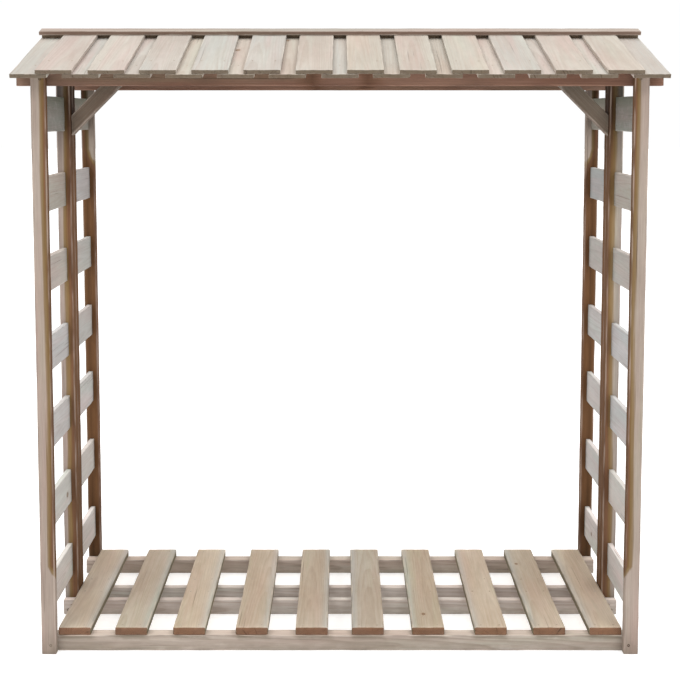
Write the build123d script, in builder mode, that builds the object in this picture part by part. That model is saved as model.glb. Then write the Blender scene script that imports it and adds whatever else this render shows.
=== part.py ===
from build123d import *
import os
from math import atan, cos, sin, radians

# Open-fronted timber log store with a hit-and-miss boarded gable roof.
# Millimetres. +Z up, front towards -Y, origin on the ground at the middle
# of the plan.

# ---------------------------------------------------------------- frame
frame_x = 875.0          # outer faces of the posts, each side of the middle
post_x = 43.0            # width of every post across the front
corner_y = 28.0          # depth of a corner post
corner_face = 395.0      # front face of the front posts, back face of the back ones
middle_y = 43.0          # depth of each upright of the pairs under the ridge
middle_split = 1.0       # joint between the two uprights of a pair

# ---------------------------------------------------------------- floor
beam_h = 47.0            # height of the ground beams
beam_outer_y = 45.0      # thickness of the front and back beams
beam_inner_y = 28.0      # thickness of the two beams that clasp the middle pairs
slat_w = 96.0            # floor slats
slat_t = 24.0
slat_centres = (83.0, 260.5, 445.5, 617.0, 783.0)   # each side of the middle

# ---------------------------------------------------------------- sides
side_w = 104.0           # height of one side slat
side_t = 16.0
side_inset = 10.0        # outer face of a slat, in from the outer face of the posts
side_rows = (172.0, 410.5, 647.0, 878.0, 1113.0, 1347.5, 1578.5)   # middle heights

# ---------------------------------------------------------------- roof
pitch = 16.0             # slope of the roof, degrees
eave_y = 451.0           # top edge of the lower boards at the eave
eave_z = 1689.0
board_w = 104.0
board_t = 12.0
board_l = 464.0          # along the slope
roof_x = 1840.0          # over the outermost boards
lower_count = 13
upper_count = 12
cap_x = 1846.0           # ridge capping
cap_w = 44.0
cap_gap = 0.5            # from the ridge line to the mitre of each cap board
purlin_y = 28.0
purlin_z = 1658.0        # underside of the eave purlins
ridge_y = 45.0
ridge_z = 1730.0         # underside of the ridge beam
brace_s = 45.0           # knee braces are square in section
brace_low = 1512.0       # where a brace's lower edge meets its post
brace_tilt = 45.0

os.makedirs("parts", exist_ok=True)

slope = atan(1.0) * pitch / 45.0
rise = sin(slope) / cos(slope)
beam_face = corner_face - corner_y          # ground beams and purlins are fixed behind the corner posts
board_pitch = (roof_x - board_w) / (lower_count - 1)
pair_y = middle_y + middle_split / 2        # from the ridge line to the outer face of a middle upright


def boards_top(y):
    """Height of the top of the lower roof boards at a distance y from the ridge."""
    return eave_z + (eave_y - abs(y)) * rise


def boards_under(y):
    """Height of the underside of the lower roof boards at a distance y from the ridge."""
    return boards_top(y) - board_t / cos(slope)


# The plane of the top of the lower boards on each slope. Its local +Y runs up
# the slope from the eave to the ridge.
slope_planes = {
    "front": Plane(
        origin=(0, -eave_y, eave_z), x_dir=(1, 0, 0), z_dir=(0, -sin(slope), cos(slope))
    ),
    "back": Plane(
        origin=(0, eave_y, eave_z), x_dir=(-1, 0, 0), z_dir=(0, sin(slope), cos(slope))
    ),
}
towards = {"front": -1, "back": 1}      # which way each side lies along Y
lies = {"left": -1, "right": 1}         # which way each side lies along X


# ------------------------------------------------------------ corner posts
# Thin posts at the four corners, cut to the roof's slope at the top.
for end, sy in towards.items():
    for side, sx in lies.items():
        x_low = min(sx * frame_x, sx * (frame_x - post_x))
        with BuildPart() as corner_post:
            with BuildSketch(Plane.YZ.offset(x_low)):
                with BuildLine():
                    Polyline(
                        (sy * corner_face, 0),
                        (sy * beam_face, 0),
                        (sy * beam_face, boards_under(beam_face)),
                        (sy * corner_face, boards_under(corner_face)),
                        close=True,
                    )
                make_face()
            extrude(amount=post_x)
        corner_post.part.label = f"post_{end}_{side}"
        export_step(corner_post.part, f"parts/post_{end}_{side}.step")


# ------------------------------------------------------------ middle posts
# Two uprights side by side at the middle of each side carry the ridge beam:
# one ends the front bay and the other ends the back bay.
for end, sy in towards.items():
    for side, sx in lies.items():
        with BuildPart() as middle_post:
            with BuildSketch(Plane.XY):
                with Locations((sx * (frame_x - post_x / 2), sy * (pair_y - middle_y / 2))):
                    Rectangle(post_x, middle_y)
            extrude(amount=ridge_z)
        middle_post.part.label = f"post_middle_{side}_{end}"
        export_step(middle_post.part, f"parts/post_middle_{side}_{end}.step")


# ------------------------------------------------------------ ground beams
# One behind each pair of corner posts and one on each face of the middle pairs.
beam_places = {
    "base_beam_front": (-(beam_face - beam_outer_y / 2), beam_outer_y),
    "base_beam_middle_front": (-(pair_y + beam_inner_y / 2), beam_inner_y),
    "base_beam_middle_back": (pair_y + beam_inner_y / 2, beam_inner_y),
    "base_beam_back": (beam_face - beam_outer_y / 2, beam_outer_y),
}
for name, (y_mid, thick) in beam_places.items():
    with BuildPart() as base_beam:
        with BuildSketch(Plane.XY):
            with Locations((0, y_mid)):
                Rectangle(2 * frame_x, thick)
        extrude(amount=beam_h)
    base_beam.part.label = name
    export_step(base_beam.part, f"parts/{name}.step")


# ------------------------------------------------------------ floor slats
# Ten slats run from front to back over the beams, numbered from the left.
places = sorted([-c for c in slat_centres] + list(slat_centres))
for number, x_mid in enumerate(places, start=1):
    with BuildPart() as floor_slat:
        with BuildSketch(Plane.XY.offset(beam_h)):
            with Locations((x_mid, 0)):
                Rectangle(slat_w, 2 * beam_face)
        extrude(amount=slat_t)
    floor_slat.part.label = f"floor_slat_{number:02d}"
    export_step(floor_slat.part, f"parts/floor_slat_{number:02d}.step")


# ------------------------------------------------------------ side slats
# Seven rows in each bay, butted between a corner post and a middle post.
for side, sx in lies.items():
    for end, sy in towards.items():
        x_low = min(sx * (frame_x - side_inset), sx * (frame_x - side_inset - side_t))
        y_mid = sy * (beam_face + pair_y) / 2
        with BuildPart() as side_slats:
            with BuildSketch(Plane.YZ.offset(x_low)):
                with Locations([(y_mid, z) for z in side_rows]):
                    Rectangle(beam_face - pair_y, side_w)
            extrude(amount=side_t)
        side_slats.part.label = f"side_slats_{side}_{end}"
        export_step(side_slats.part, f"parts/side_slats_{side}_{end}.step")


# ------------------------------------------------------------ eave purlins
# Behind the heads of the corner posts, with the top planed to the slope.
for end, sy in towards.items():
    inner = beam_face - purlin_y
    with BuildPart() as purlin:
        with BuildSketch(Plane.YZ.offset(-roof_x / 2)):
            with BuildLine():
                Polyline(
                    (sy * beam_face, purlin_z),
                    (sy * inner, purlin_z),
                    (sy * inner, boards_under(inner)),
                    (sy * beam_face, boards_under(beam_face)),
                    close=True,
                )
            make_face()
        extrude(amount=roof_x)
    purlin.part.label = f"purlin_{end}"
    export_step(purlin.part, f"parts/purlin_{end}.step")


# ------------------------------------------------------------ ridge beam
# Over the middle pairs, planed to both slopes.
with BuildPart() as ridge_beam:
    with BuildSketch(Plane.YZ.offset(-roof_x / 2)):
        with BuildLine():
            Polyline(
                (-ridge_y / 2, ridge_z),
                (ridge_y / 2, ridge_z),
                (ridge_y / 2, boards_under(ridge_y / 2)),
                (0, boards_under(0)),
                (-ridge_y / 2, boards_under(ridge_y / 2)),
                close=True,
            )
        make_face()
    extrude(amount=roof_x)
ridge_beam.part.label = "ridge_beam"
export_step(ridge_beam.part, "parts/ridge_beam.step")


# ------------------------------------------------------------ knee braces
# From the inner faces of a middle pair up to the underside of the ridge beam.
for side, sx in lies.items():
    face = frame_x - post_x
    tall = brace_s / cos(radians(brace_tilt))       # the height of its cut on the post
    run_low = (ridge_z - brace_low) / (sin(radians(brace_tilt)) / cos(radians(brace_tilt)))
    run_high = (ridge_z - brace_low - tall) / (
        sin(radians(brace_tilt)) / cos(radians(brace_tilt))
    )
    with BuildPart() as brace:
        with BuildSketch(Plane.XZ.offset(-brace_s / 2)):
            with BuildLine():
                Polyline(
                    (sx * face, brace_low),
                    (sx * (face - run_low), ridge_z),
                    (sx * (face - run_high), ridge_z),
                    (sx * face, brace_low + tall),
                    close=True,
                )
            make_face()
        extrude(amount=brace_s)
    brace.part.label = f"brace_{side}"
    export_step(brace.part, f"parts/brace_{side}.step")


# ------------------------------------------------------------ roof boards
# A lower layer with open joints, and an upper layer that covers the joints.
for end, plane in slope_planes.items():
    with BuildPart() as lower_boards:
        with BuildSketch(plane):
            with Locations((0, board_l / 2)):
                with GridLocations(board_pitch, board_l, lower_count, 1):
                    Rectangle(board_w, board_l)
        extrude(amount=-board_t)
    lower_boards.part.label = f"roof_boards_lower_{end}"
    export_step(lower_boards.part, f"parts/roof_boards_lower_{end}.step")

    with BuildPart() as upper_boards:
        with BuildSketch(plane):
            with Locations((0, board_l / 2)):
                with GridLocations(board_pitch, board_l, upper_count, 1):
                    Rectangle(board_w, board_l)
        extrude(amount=board_t)
    upper_boards.part.label = f"roof_boards_upper_{end}"
    export_step(upper_boards.part, f"parts/roof_boards_upper_{end}.step")


# ------------------------------------------------------------ ridge capping
# A pair of narrow boards over the upper layer, mitred along the ridge line.
bed = board_t / cos(slope)              # vertical thickness of one layer
for end, sy in towards.items():
    low_y = cap_w * cos(slope)
    with BuildPart() as ridge_cap:
        with BuildSketch(Plane.YZ.offset(-cap_x / 2)):
            with BuildLine():
                Polyline(
                    (sy * cap_gap, boards_top(cap_gap) + bed),
                    (sy * low_y, boards_top(low_y) + bed),
                    (
                        sy * (low_y + board_t * sin(slope)),
                        boards_top(low_y) + bed + board_t * cos(slope),
                    ),
                    (sy * cap_gap, boards_top(cap_gap) + 2 * bed),
                    close=True,
                )
            make_face()
        extrude(amount=cap_x)
    ridge_cap.part.label = f"ridge_cap_{end}"
    export_step(ridge_cap.part, f"parts/ridge_cap_{end}.step")
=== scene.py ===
import math

import bpy
import numpy as np
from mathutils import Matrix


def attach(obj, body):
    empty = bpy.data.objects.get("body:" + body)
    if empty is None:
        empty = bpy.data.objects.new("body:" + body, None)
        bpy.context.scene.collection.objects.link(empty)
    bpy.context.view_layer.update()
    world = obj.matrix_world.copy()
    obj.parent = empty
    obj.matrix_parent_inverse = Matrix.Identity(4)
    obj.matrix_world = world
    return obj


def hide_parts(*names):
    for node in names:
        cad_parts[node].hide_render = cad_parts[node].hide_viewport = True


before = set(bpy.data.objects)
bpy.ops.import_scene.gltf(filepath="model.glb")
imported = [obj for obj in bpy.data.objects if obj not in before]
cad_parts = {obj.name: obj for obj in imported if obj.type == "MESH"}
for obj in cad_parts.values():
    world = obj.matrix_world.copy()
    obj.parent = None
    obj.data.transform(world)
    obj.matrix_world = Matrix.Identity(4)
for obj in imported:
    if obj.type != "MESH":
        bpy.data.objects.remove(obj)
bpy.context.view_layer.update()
MM = 0.001


# =====================================================================
# 1. Timber as mesh: prisms with rounded arrises, worn edges and a slight
#    warp, built on the places that the frame gives.
# =====================================================================

def islands(node):
    """The vertices of each solid in a CAD node, in the row frame."""
    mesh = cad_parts[node].data
    count = len(mesh.vertices)
    co = np.empty(count * 3, np.float64)
    mesh.vertices.foreach_get("co", co)
    co = co.reshape(-1, 3)
    # Vertices at one place count as one, so a solid is whole even where its faces are split.
    keys, first = {}, np.empty(count, int)
    for i, c in enumerate(np.round(co * 1e5).astype(int)):
        first[i] = keys.setdefault(tuple(c), i)
    parent = list(range(count))

    def root(i):
        while parent[i] != i:
            parent[i] = parent[parent[i]]
            i = parent[i]
        return i

    for i in range(count):
        parent[root(i)] = root(int(first[i]))
    edges = np.empty(len(mesh.edges) * 2, int)
    mesh.edges.foreach_get("vertices", edges)
    for a, b in edges.reshape(-1, 2):
        parent[root(int(a))] = root(int(b))
    groups = {}
    for i in range(count):
        groups.setdefault(root(i), []).append(i)
    return [co[g] for g in groups.values()]


class Waves:
    """Smooth seeded noise of one or two variables, as a sum of sines."""

    def __init__(self, rng, wavelengths, terms=3):
        self.parts = [
            (
                2 * math.pi / w * rng.uniform(0.75, 1.3),
                2 * math.pi / w * rng.uniform(-1.0, 1.0),
                rng.uniform(0, 2 * math.pi),
            )
            for w in wavelengths
            for _ in range(terms)
        ]

    def __call__(self, a, b=0.0):
        total = 0.0
        for ka, kb, phase in self.parts:
            total = total + np.sin(ka * a + kb * b + phase)
        return total / math.sqrt(len(self.parts))


def outline(polygon, r, step, arc=3):
    """A closed outline of a convex polygon with its corners rounded.

    Returns points (n, 2), unit outward normals (n, 2) and how much each point belongs to an arris, 0 to 1."""
    polygon = np.asarray(polygon, float)
    n = len(polygon)
    area = sum(
        polygon[i][0] * polygon[(i + 1) % n][1] - polygon[(i + 1) % n][0] * polygon[i][1]
        for i in range(n)
    )
    if area < 0:
        polygon = polygon[::-1]
    pts, nrm, edge = [], [], []
    starts, ends, corners = [], [], []
    for i in range(n):
        before, here, after = polygon[i - 1], polygon[i], polygon[(i + 1) % n]
        d0 = (here - before) / np.linalg.norm(here - before)
        d1 = (after - here) / np.linalg.norm(after - here)
        n0, n1 = np.array([d0[1], -d0[0]]), np.array([d1[1], -d1[0]])
        turn = math.acos(np.clip(d0 @ d1, -1, 1))
        rr = min(r, 0.4 * min(np.linalg.norm(here - before), np.linalg.norm(after - here)))
        cut = rr * math.tan(turn / 2)
        centre = here - d0 * cut - n0 * rr
        corners.append((centre, n0, n1, rr, turn))
        starts.append(here - d0 * cut)
        ends.append(here + d1 * cut)
    for i in range(n):
        centre, n0, n1, rr, turn = corners[i]
        count = arc if turn > 0.5 else 1
        for k in range(count + 1):
            f = k / count
            m = n0 * (1 - f) + n1 * f
            m /= np.linalg.norm(m)
            pts.append(centre + m * rr)
            nrm.append(m)
            edge.append(1.0 if turn > 0.5 else 0.25)
        a, b = ends[i], starts[(i + 1) % n]
        length = np.linalg.norm(b - a)
        side = (b - a) / length
        margin = min(3.5 * MM, length * 0.3)
        inner = length - 2 * margin
        pieces = max(1, int(round(inner / step)))
        for k in range(pieces + 1):
            pts.append(a + side * (margin + inner * k / pieces))
            nrm.append(n1)
            edge.append(0.12 if k in (0, pieces) else 0.0)
    return np.array(pts), np.array(nrm), np.array(edge)


class Stack:
    """The meshes of one piece, gathered as arrays."""

    def __init__(self):
        self.co, self.faces, self.sizes = [], [], []
        self.grain, self.tone, self.marks, self.knot = [], [], [], []
        self.mat = []
        self.count = 0


def timber(
    stack,
    axes,
    polygon,
    start,
    end,
    seed,
    r=1.6 * MM,
    along=26 * MM,
    across=17 * MM,
    end_r=1.2 * MM,
    pith=None,
    heart=0.0,
    light=0.0,
    warm=0.0,
    bow=(0.0, 0.0),
    cup=0.0,
    twist=0.0,
    skew=0.0,
    knots=None,
    knot_r=(3.5 * MM, 9 * MM),
    knot_rate=0.7,
    wear=1.0,
    dirt_and_shade=None,
    grain_flip=False,
):
    """Adds one stick of timber.

    axes is (origin, U, V, W): U along the grain, and V, W across it. polygon is the section in V and W. start and end are the end planes as (u, slope on v, slope on w). heart is the radius of the brown heartwood about the pith. It, light and warm may be functions of the place."""
    rng = np.random.default_rng(seed)
    origin, U, V, W = (np.asarray(a, float) for a in axes)
    pts, nrm, edge = outline(polygon, r, across)
    m = len(pts)
    lo, hi = pts.min(axis=0), pts.max(axis=0)
    mid, half = (lo + hi) / 2, (hi - lo) / 2
    u0 = start[0] + start[1] * pts[:, 0] + start[2] * pts[:, 1]
    u1 = end[0] + end[1] * pts[:, 0] + end[2] * pts[:, 1]
    length = float((end[0] + end[1] * mid[0] + end[2] * mid[1]) - (start[0] + start[1] * mid[0] + start[2] * mid[1]))
    inner = max(2, int(round((length - 2 * (end_r + 4 * MM)) / along)))

    # Each ring: (share of the way, plain offset, inset, how much of an end arris it is)
    rings = [(0.0, 0.0, end_r, 0.7), (0.0, 0.3 * end_r, 0.3 * end_r, 1.0), (0.0, end_r, 0.0, 1.0), (0.0, end_r + 4 * MM, 0.0, 0.15)]
    rings += [(k / inner, None, 0.0, 0.0) for k in range(1, inner)]
    rings += [(1.0, -(end_r + 4 * MM), 0.0, 0.15), (1.0, -end_r, 0.0, 1.0), (1.0, -0.3 * end_r, 0.3 * end_r, 1.0), (1.0, 0.0, end_r, 0.7)]
    us, vs, ws, es, ts = [], [], [], [], []
    for share, offset, inset, mark in rings:
        if offset is None:
            a, b = u0 + end_r + 4 * MM, u1 - end_r - 4 * MM
            u = a + (b - a) * share
        elif share == 0.0:
            u = u0 + offset
        else:
            u = u1 + offset
        p = pts - nrm * inset
        us.append(u)
        vs.append(p[:, 0])
        ws.append(p[:, 1])
        es.append(np.maximum(edge, mark))
        ts.append((u - u0) / (u1 - u0))
    rows = len(rings)
    u, v, w = np.concatenate(us), np.concatenate(vs), np.concatenate(ws)
    e, t = np.concatenate(es), np.concatenate(ts)
    nv, nw = np.tile(nrm[:, 0], rows), np.tile(nrm[:, 1], rows)
    # A vertex in the middle of each end face.
    u = np.append(u, [us[0].mean(), us[-1].mean()])
    v = np.append(v, [mid[0], mid[0]])
    w = np.append(w, [mid[1], mid[1]])
    e = np.append(e, [0, 0])
    t = np.append(t, [0.0, 1.0])
    nv, nw = np.append(nv, [0, 0]), np.append(nw, [0, 0])

    # Knots, as (u, v, radius). They go through the thickness.
    if knots is None:
        knots = []
        number = rng.poisson(length * knot_rate)
        for _ in range(min(number, 6)):
            ku = rng.uniform(0.06, 0.94) * length + start[0]
            kv = mid[0] + half[0] * rng.uniform(-0.8, 0.8)
            if all(abs(ku - k[0]) > 0.12 for k in knots):
                knots.append((ku, kv, rng.uniform(*knot_r) * (0.55 + 0.45 * min(1, half[0] / 0.05))))
    grain_u = u + rng.uniform(0, 7)

    # Wear: the arrises are eased unevenly, with a few dents, and the faces aren't quite flat.
    ease = Waves(rng, (0.35, 0.11, 0.04))
    dents = Waves(rng, (0.05, 0.018))
    inward = e * (0.35 * MM + 0.3 * MM * ease(u, 9 * v + 5 * w)) * wear
    inward = np.clip(inward, 0, None) + (e > 0.5) * np.clip(dents(u, 20 * v) - 1.55, 0, None) * 1.5 * MM * wear
    face = Waves(rng, (0.5, 0.2))
    inward = inward + 0.10 * MM + 0.10 * MM * face(u, 2.0 * v + 3.0 * w)
    for ku, kv, kr in knots:
        d2 = ((u - ku) * 0.6) ** 2 + (v - kv) ** 2
        inward = inward - 0.22 * MM * np.exp(-d2 / (kr * 1.6) ** 2)
    v = v - nv * inward
    w = w - nw * inward
    # Warp of the whole stick.
    arch = 4 * t * (1 - t)
    rel_v = (v - mid[0]) / max(half[0], 1e-6)
    v = v + bow[0] * (arch - 0.5)
    w = w + bow[1] * (arch - 0.5) + cup * (rel_v**2 - 0.4)
    angle = twist * (t - 0.5)
    dv, dw = v - mid[0], w - mid[1]
    v, w = mid[0] + dv * np.cos(angle) - dw * np.sin(angle), mid[1] + dv * np.sin(angle) + dw * np.cos(angle)
    if skew:
        v = v + skew * (t - 0.5) * length

    co = origin + np.outer(u, U) + np.outer(v, V) + np.outer(w, W)

    # Faces: the quads of the sides, and a fan on each end.
    a = np.arange(m)
    b = (a + 1) % m
    quads = np.concatenate([np.stack([k * m + a, k * m + b, (k + 1) * m + b, (k + 1) * m + a], 1) for k in range(rows - 1)])
    quad_end = np.repeat([1.0 if k in (0, rows - 2) else 0.0 for k in range(rows - 1)], m)
    c0, c1 = rows * m, rows * m + 1
    fan0 = np.stack([b, a, np.full(m, c0)], 1)
    fan1 = np.stack([(rows - 1) * m + a, (rows - 1) * m + b, np.full(m, c1)], 1)
    if np.dot(np.cross(U, V), W) < 0:
        quads, fan0, fan1 = quads[:, ::-1], fan0[:, ::-1], fan1[:, ::-1]

    if pith is None:
        pith = (mid[0] + rng.uniform(-0.5, 0.5) * half[0], mid[1] - rng.uniform(0.03, 0.08))
    grain = np.stack([grain_u, v - pith[0], w - pith[1]], 1)
    shade = light(co) if callable(light) else np.full(len(u), light)
    core = heart(co) if callable(heart) else np.full(len(u), heart)
    hue = warm(co) if callable(warm) else np.full(len(u), warm)
    tone = np.stack([shade, hue, core], 1)
    # The third mark holds damp and dirt, and painted shade where a piece asks for it.
    low = np.zeros(len(u)) if dirt_and_shade is None else dirt_and_shade(co)

    def corners(faces, is_end):
        flat = faces.reshape(-1)
        size = faces.shape[1]
        marks = np.stack([e[flat], np.repeat(is_end, size), low[flat]], 1)
        centre_u = u[faces].mean(axis=1)
        centre_v = v[faces].mean(axis=1)
        knot = np.tile([9.0, 9.0, 0.001], (len(flat), 1))
        if knots:
            table = np.array(knots)
            d = np.hypot(centre_u[:, None] - table[None, :, 0], centre_v[:, None] - table[None, :, 1])
            pick = np.repeat(d.argmin(axis=1), size)
            near = np.repeat(d.min(axis=1) < 0.11, size)
            got = np.stack([u[flat] - table[pick, 0], v[flat] - table[pick, 1], table[pick, 2]], 1)
            knot[near] = got[near]
        return marks, knot

    for faces, is_end in ((quads, quad_end), (fan0, np.ones(m)), (fan1, np.ones(m))):
        marks, knot = corners(faces, is_end)
        stack.faces.append((faces + stack.count).reshape(-1))
        stack.sizes.append(np.full(len(faces), faces.shape[1]))
        stack.marks.append(marks)
        stack.knot.append(knot)
    stack.co.append(co)
    stack.grain.append(grain)
    stack.tone.append(tone)
    stack.count += len(co)


def make_object(name, stack, material, node=None):
    co = np.concatenate(stack.co)
    loops = np.concatenate(stack.faces).astype(np.int32)
    sizes = np.concatenate(stack.sizes).astype(np.int32)
    mesh = bpy.data.meshes.new(name)
    mesh.vertices.add(len(co))
    mesh.vertices.foreach_set("co", co.astype(np.float32).ravel())
    mesh.loops.add(len(loops))
    mesh.loops.foreach_set("vertex_index", loops)
    mesh.polygons.add(len(sizes))
    begins = np.concatenate([[0], np.cumsum(sizes)[:-1]]).astype(np.int32)
    mesh.polygons.foreach_set("loop_start", begins)
    mesh.polygons.foreach_set("use_smooth", np.ones(len(sizes), bool))
    mesh.update(calc_edges=True)
    for key, domain, data in (
        ("grain", "POINT", stack.grain),
        ("tone", "POINT", stack.tone),
        ("marks", "CORNER", stack.marks),
        ("knot", "CORNER", stack.knot),
    ):
        if data:
            layer = mesh.attributes.new(key, "FLOAT_VECTOR", domain)
            layer.data.foreach_set("vector", np.concatenate(data).astype(np.float32).ravel())
    mesh.validate()
    mesh.materials.append(material)
    obj = bpy.data.objects.new(name, mesh)
    bpy.context.scene.collection.objects.link(obj)
    weighted = obj.modifiers.new("weighted", "WEIGHTED_NORMAL")
    weighted.mode = "FACE_AREA"
    weighted.weight = 60
    weighted.keep_sharp = False
    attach(obj, "root")
    if node:
        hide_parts(node)
    return obj


# =====================================================================
# 2. Wood as material. It is a solid texture: growth rings about a pith
#    that lies outside or inside the stick, so that faces, edges and end
#    grain agree.
# =====================================================================

def srgb(rgb):
    out = []
    for c in rgb:
        c = c / 255
        out.append(c / 12.92 if c <= 0.04045 else ((c + 0.055) / 1.055) ** 2.4)
    return (*out, 1.0)


class Graph:
    def __init__(self, material):
        material.use_nodes = True
        self.tree = material.node_tree
        self.tree.nodes.clear()

    def node(self, kind, **props):
        made = self.tree.nodes.new(kind)
        for key, value in props.items():
            setattr(made, key, value)
        return made

    def put(self, socket, value):
        if isinstance(value, bpy.types.NodeSocket):
            self.tree.links.new(value, socket)
        elif value is not None:
            socket.default_value = value

    def math(self, op, a, b=None, c=None, clamp=False):
        made = self.node("ShaderNodeMath", operation=op, use_clamp=clamp)
        for socket, value in zip(made.inputs, (a, b, c)):
            self.put(socket, value)
        return made.outputs[0]

    def ramp(self, value, low, high, out_low=0.0, out_high=1.0, smooth=True):
        made = self.node("ShaderNodeMapRange", interpolation_type="SMOOTHSTEP" if smooth else "LINEAR", clamp=True)
        for i, x in enumerate((value, low, high, out_low, out_high)):
            self.put(made.inputs[i], x)
        return made.outputs[0]

    def vec(self, x, y, z):
        made = self.node("ShaderNodeCombineXYZ")
        for socket, value in zip(made.inputs, (x, y, z)):
            self.put(socket, value)
        return made.outputs[0]

    def scaled(self, vector, by, plus=(0, 0, 0)):
        made = self.node("ShaderNodeVectorMath", operation="MULTIPLY_ADD")
        self.put(made.inputs[0], vector)
        made.inputs[1].default_value = by
        made.inputs[2].default_value = plus
        return made.outputs[0]

    def noise(self, vector, detail=2.0, rough=0.5, scale=1.0, distortion=0.0):
        made = self.node("ShaderNodeTexNoise")
        self.put(made.inputs["Vector"], vector)
        made.inputs["Scale"].default_value = scale
        made.inputs["Detail"].default_value = detail
        made.inputs["Roughness"].default_value = rough
        made.inputs["Distortion"].default_value = distortion
        return made.outputs[0]

    def mix(self, factor, a, b, blend="MIX"):
        made = self.node("ShaderNodeMix", data_type="RGBA", blend_type=blend, clamp_factor=True)
        self.put(made.inputs[0], factor)
        self.put(made.inputs[6], a)
        self.put(made.inputs[7], b)
        return made.outputs[2]

    def attribute(self, name):
        made = self.node("ShaderNodeAttribute", attribute_name=name)
        split = self.node("ShaderNodeSeparateXYZ")
        self.tree.links.new(made.outputs["Vector"], split.inputs[0])
        return made.outputs["Vector"], split.outputs[0], split.outputs[1], split.outputs[2]


def wood(
    name,
    light,
    mid,
    late,
    heart,
    olive,
    weather,
    end_light,
    end_dark,
    ring=4.2 * MM,
    late_strength=0.55,
    weather_amount=0.5,
    fibre_strength=0.16,
    sawn=0.35,
    knot_dark=(96, 62, 38),
    knot_mid=(150, 104, 66),
    worn=None,
    checks=0.6,
    bump=1.0,
    cast=(1.0, 1.0, 1.0),
    pink=(206, 178, 166),
    green=(184, 190, 166),
    clouds=0.35,
    margin=0.008,
    core=(105, 67, 30),
    dirt_and_shade_col=(92, 84, 66),
    gloss=0.10,
):
    material = bpy.data.materials.new(name)
    g = Graph(material)

    def linear(rgb):
        r, gr, b, a = srgb(rgb)
        return (r * cast[0], gr * cast[1], b * cast[2], a)

    G, u, v, w = g.attribute("grain")
    _, t_light, t_warm, t_heart = g.attribute("tone")
    _, m_edge, m_end, m_dirt_and_shade = g.attribute("marks")
    _, k_u, k_v, k_r = g.attribute("knot")

    # Wander of the grain: slow along the stick, quicker across it.
    slow_a = g.noise(g.scaled(G, (1.3, 7.0, 7.0)), 2.0)
    slow_b = g.noise(g.scaled(G, (1.3, 7.0, 7.0), (31.0, 11.0, 5.0)), 2.0)
    quick = g.noise(g.scaled(G, (7.0, 55.0, 55.0), (3.0, 7.0, 9.0)), 2.0)
    wob = 0.016
    v2 = g.math("MULTIPLY_ADD", g.math("SUBTRACT", slow_a, 0.5), wob, v)
    w2 = g.math("MULTIPLY_ADD", g.math("SUBTRACT", slow_b, 0.5), wob, w)
    rho = g.math("SQRT", g.math("ADD", g.math("MULTIPLY", v2, v2), g.math("MULTIPLY", w2, w2)))
    rho = g.math("MULTIPLY_ADD", g.math("SUBTRACT", quick, 0.5), 0.0022, rho)
    rho_grain = g.math("MULTIPLY_ADD", u, 0.012, rho)

    # Knots bend the rings round themselves.
    ku = g.math("MULTIPLY", k_u, 0.62)
    k_noise = g.noise(g.scaled(G, (60.0, 90.0, 90.0)), 1.0)
    k_dist = g.math("SQRT", g.math("ADD", g.math("MULTIPLY", ku, ku), g.math("MULTIPLY", k_v, k_v)))
    k_rel = g.math("DIVIDE", k_dist, k_r)
    k_rel = g.math("MULTIPLY_ADD", g.math("SUBTRACT", k_noise, 0.5), 0.35, k_rel)
    k_fall = g.math("EXPONENT", g.math("MULTIPLY", g.math("POWER", g.math("MULTIPLY", k_rel, 0.42), 2.0), -1.0))
    rho_grain = g.math("MULTIPLY_ADD", g.math("MULTIPLY", k_fall, k_r), 1.7, rho_grain)

    # Growth rings: a slow darkening, then a sharp end, with uneven widths.
    uneven = g.noise(g.vec(g.math("MULTIPLY", rho_grain, 55.0), g.math("MULTIPLY", u, 0.4), 0.0), 2.0)
    rho_ring = g.math("MULTIPLY_ADD", g.math("SUBTRACT", uneven, 0.5), 0.012, rho_grain)
    phase = g.math("FRACT", g.math("DIVIDE", rho_ring, ring))
    band = g.math("MULTIPLY", g.ramp(phase, 0.30, 0.90), g.ramp(phase, 1.0, 0.93))
    band_power = g.ramp(g.noise(g.scaled(G, (1.6, 20.0, 20.0), (7.0, 1.0, 2.0)), 1.0), 0.25, 0.75, 0.35, 1.0)
    band = g.math("MULTIPLY", band, band_power)

    fine = g.noise(g.scaled(G, (16.0, 520.0, 520.0)), 2.0, 0.6)
    streak = g.noise(g.scaled(G, (3.5, 120.0, 120.0), (4.0, 2.0, 8.0)), 3.0, 0.6)
    blotch = g.noise(g.scaled(G, (2.6, 11.0, 11.0), (9.0, 4.0, 1.0)), 3.0, 0.55)
    cloud = g.noise(g.scaled(G, (1.1, 4.0, 4.0), (2.0, 17.0, 6.0)), 2.0, 0.5)
    grime = g.noise(g.scaled(G, (22.0, 45.0, 45.0), (1.0, 3.0, 2.0)), 4.0, 0.65)

    colour = g.mix(g.ramp(blotch, 0.30, 0.70), linear(light), linear(mid))
    # Weathered grey-green film in clouds and streaks
    film = g.math("MULTIPLY", g.ramp(g.math("MULTIPLY_ADD", g.math("SUBTRACT", streak, 0.5), 0.5, cloud), 0.42, 0.66), weather_amount)
    colour = g.mix(film, colour, linear(weather))
    # Faint pinkish and greenish clouds, drawn out along the grain
    rosy = g.ramp(g.noise(g.scaled(G, (1.4, 16.0, 16.0), (12.0, 3.0, 4.0)), 3.0, 0.6), 0.46, 0.70)
    mossy = g.ramp(g.noise(g.scaled(G, (1.2, 13.0, 13.0), (1.0, 23.0, 14.0)), 3.0, 0.6), 0.48, 0.72)
    colour = g.mix(g.math("MULTIPLY", rosy, clouds), colour, linear(pink))
    colour = g.mix(g.math("MULTIPLY", mossy, clouds), colour, linear(green))
    colour = g.mix(g.math("MULTIPLY", band, late_strength), colour, linear(late))

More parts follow.
